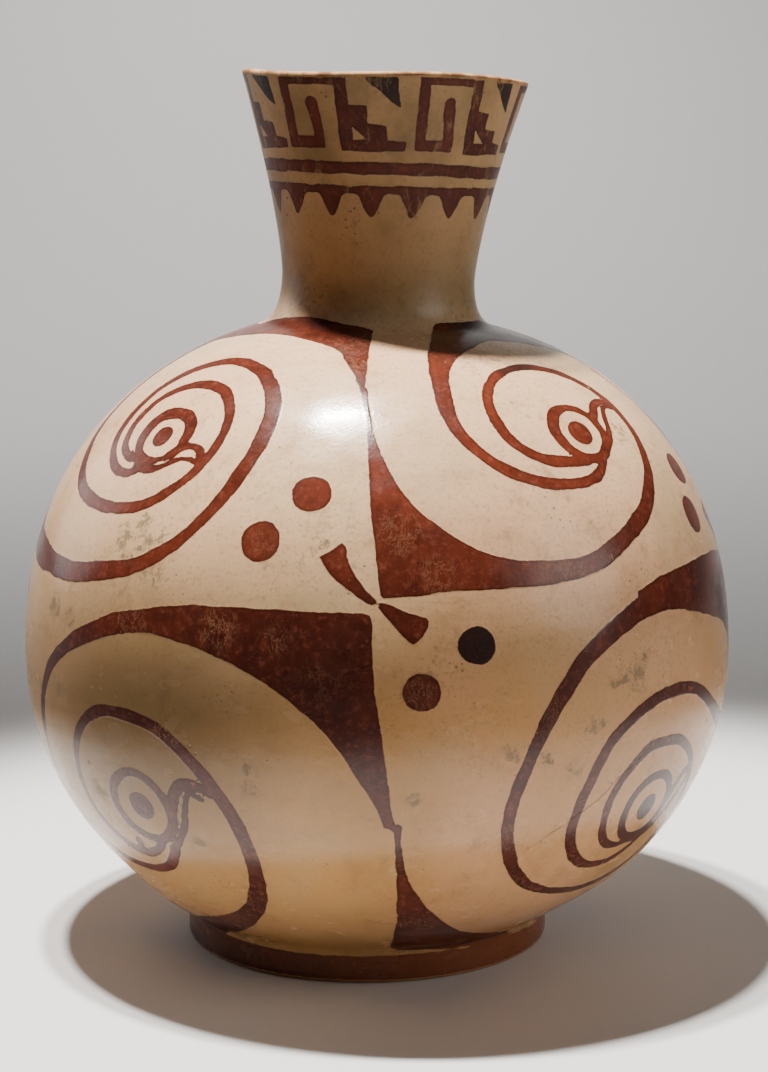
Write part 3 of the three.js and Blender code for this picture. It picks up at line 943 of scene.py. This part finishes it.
def painted_clay():
    f = Finish("painted_clay")
    climb, edge, soot_and_shade = (f.read(name).outputs["Fac"] for name in ("climb", "paint", "soot_and_shade"))
    at = f.add("ShaderNodeSeparateXYZ")
    f.feed(at.inputs[0], f.place)
    across_jar, z = at.outputs["X"], at.outputs["Z"]
    clouds, mottle, grain = f.noise(8, 3, 0.6), f.noise(85, 4, 0.68), f.noise(820, 2, 0.65)
    neck = f.step(f.plus(climb, f.times(clouds, 10)), 284, 300)

    ground = slip_ground(f, z, clouds, neck, mottle, grain)
    ground, speck = dirty(f, ground, mottle)
    ground, blot = stained(f, ground)
    ground, crack = scored(f, ground, climb)

    wobble = f.plus(f.step(f.noise(150, 2, 0.5), 0.25, 0.75, -0.34, 0.34, smooth=False),
                   f.step(f.noise(700, 3, 0.6), 0.25, 0.75, -0.12, 0.12, smooth=False))
    brushed = f.plus(edge, wobble)
    cover = f.step(brushed, 0.14, -0.14)
    red = brown_red(f, z, across_jar, climb, edge, brushed)
    # Paint blackened by the fire, and painted shade on the paint under the neck on the right
    red = f.mix(f.times(soot_and_shade, 0.85), red, colour(38, 29, 26))
    worn = f.times(cover, f.sum("SUBTRACT", 1.0, bare_spots(f, neck)))
    surface = scratched(f, f.mix(worn, ground, red), cover)
    surface, bare = bare_clay(f, surface, climb)
    f.feed(f.shader.inputs["Base Color"], surface)

    # Burnished sheen, duller on bare clay and stains
    polish = f.step(f.noise(1.0, 3, 0.55, vector=f.stretch(f.place, (70, 70, 190))), 0.3, 0.75, 0.17, 0.25)
    polish = f.plus(polish, f.step(f.noise(52, 3, 0.6), 0.4, 0.7, 0, 0.08))
    polish = f.plus(polish, f.times(neck, 0.14))
    rough = f.plus(polish, f.times(bare, 0.4))
    rough = f.plus(rough, f.times(f.most(blot, speck), 0.2))
    f.feed(f.shader.inputs["Roughness"], rough)
    f.shader.inputs["Specular IOR Level"].default_value = 0.4

    # Relief: coil unevenness, burnishing marks, paint thickness, pits and the crack
    normal = f.bump(f.noise(16, 3, 0.5), 0.004, 0.14)
    facets = f.noise(1.0, 2, 0.5, vector=f.stretch(f.place, (30, 30, 130)))
    normal = f.bump(facets, 0.0006, 0.16, normal)
    normal = f.bump(f.step(edge, 0.5, -0.5), 0.00012, 0.5, normal)
    normal = f.bump(grain, 0.00012, 0.35, normal)
    normal = f.bump(f.sum("SUBTRACT", 1.0, f.most(crack, speck)), 0.0003, 0.5, normal)
    f.feed(f.shader.inputs["Normal"], normal)
    return f.material


mesh, turn, climb = throw_jar()
paint_jar(mesh, turn, climb)
jar = bpy.data.objects.new("painted_jar", mesh)
bpy.context.scene.collection.objects.link(jar)
mesh.materials.append(painted_clay())
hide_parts("jar")
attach(jar, "root")


# ---- Room: a pale floor that curves up behind, two lamps overhead, a fill, a rim and a wall lamp ----
def plain(name, shade, rough):
    f = Finish(name)
    tone = f.mix(f.noise(3, 2, 0.5), shade, tuple(v * 0.97 for v in shade[:3]) + (1.0,))
    f.feed(f.shader.inputs["Base Color"], tone)
    f.shader.inputs["Roughness"].default_value = rough
    return f.material


def sweep():
    """A pale floor that curves up into a wall behind. Metres."""
    reach, bend_start, bend_radius, wall_height, bend_steps = 7.0, 1.5, 0.9, 4.0, 16
    bm = bmesh.new()
    angles = [math.pi / 2 * i / bend_steps for i in range(bend_steps + 1)]
    bend = [(bend_start + bend_radius * math.sin(a), bend_radius * (1 - math.cos(a))) for a in angles]
    section = [(-reach, 0.0), (0.0, 0.0), *bend, (bend_start + bend_radius, wall_height)]
    verts = [bm.verts.new((-reach, y, z)) for y, z in section]
    edges = [bm.edges.new(pair) for pair in zip(verts, verts[1:])]
    wide = bmesh.ops.extrude_edge_only(bm, edges=edges)["geom"]
    far_side = [g for g in wide if isinstance(g, bmesh.types.BMVert)]
    bmesh.ops.translate(bm, verts=far_side, vec=(2 * reach, 0, 0))
    bmesh.ops.recalc_face_normals(bm, faces=bm.faces)
    for face in bm.faces:
        face.smooth = True
    mesh = bpy.data.meshes.new("sweep")
    bm.to_mesh(mesh)
    bm.free()
    mesh.materials.append(plain("pale_floor", colour(226, 224, 222), 0.6))
    floor = bpy.data.objects.new("floor", mesh)
    bpy.context.scene.collection.objects.link(floor)


def lamp(name, place, aim, size, power, tint, spread=math.pi):
    light = bpy.data.lights.new(name, "AREA")
    light.shape, light.size, light.energy, light.color, light.spread = "DISK", size, power, tint, spread
    hang(light, place, aim)


def spot(name, place, aim, radius, power, tint, cone, blend):
    light = bpy.data.lights.new(name, "SPOT")
    light.shadow_soft_size, light.energy, light.color = radius, power, tint
    light.spot_size, light.spot_blend = cone, blend
    hang(light, place, aim)


def hang(light, place, aim):
    lamp_object = bpy.data.objects.new(light.name, light)
    lamp_object.location = place
    lamp_object.rotation_euler = (Vector(aim) - Vector(place)).to_track_quat("-Z", "Y").to_euler()
    bpy.context.scene.collection.objects.link(lamp_object)


sweep()
# Two small lamps side by side overhead give the split highlight on the shoulder
for side, x in (("left", -0.34), ("right", -0.18)):
    spot("overhead_" + side, (x, 0.04, 1.9), (0.04, 0.0, 0.0), 0.045, 255, (1.0, 0.97, 0.93),
         math.radians(22), 0.6)
lamp("right_fill", (1.7, -0.7, 0.8), (0.0, 0.0, 0.12), 1.2, 10, (1.0, 0.96, 0.91))
lamp("left_rim", (-1.6, 1.0, 0.7), (0.0, 0.0, 0.15), 1.2, 6, (0.98, 0.98, 1.0))
lamp("wall_wash", (-0.5, 0.9, 2.2), (0.0, 2.0, 0.55), 0.6, 16, (1.0, 0.99, 0.97), math.radians(100))
world = bpy.data.worlds.new("room")
world.use_nodes = True
world.node_tree.nodes["Background"].inputs["Color"].default_value = (0.86, 0.87, 0.9, 1.0)
world.node_tree.nodes["Background"].inputs["Strength"].default_value = 0.03
bpy.context.scene.world = world

# ---- Camera ----
PICTURE_HEIGHT, FOCAL_PIXELS = 1072, 2464  # of the 768 by 1072 picture
FILM_WIDTH = 36.0
DIP = math.radians(9.31)  # how far the camera looks down
camera = bpy.data.objects.new("camera", bpy.data.cameras.new("camera"))
camera.data.sensor_width = FILM_WIDTH
camera.data.lens = FILM_WIDTH * FOCAL_PIXELS / PICTURE_HEIGHT
camera.location = (0.00244, -0.8589, 0.2832)
camera.rotation_euler = (math.pi / 2 - DIP, 0, 0)
bpy.context.scene.collection.objects.link(camera)
bpy.context.scene.camera = camera
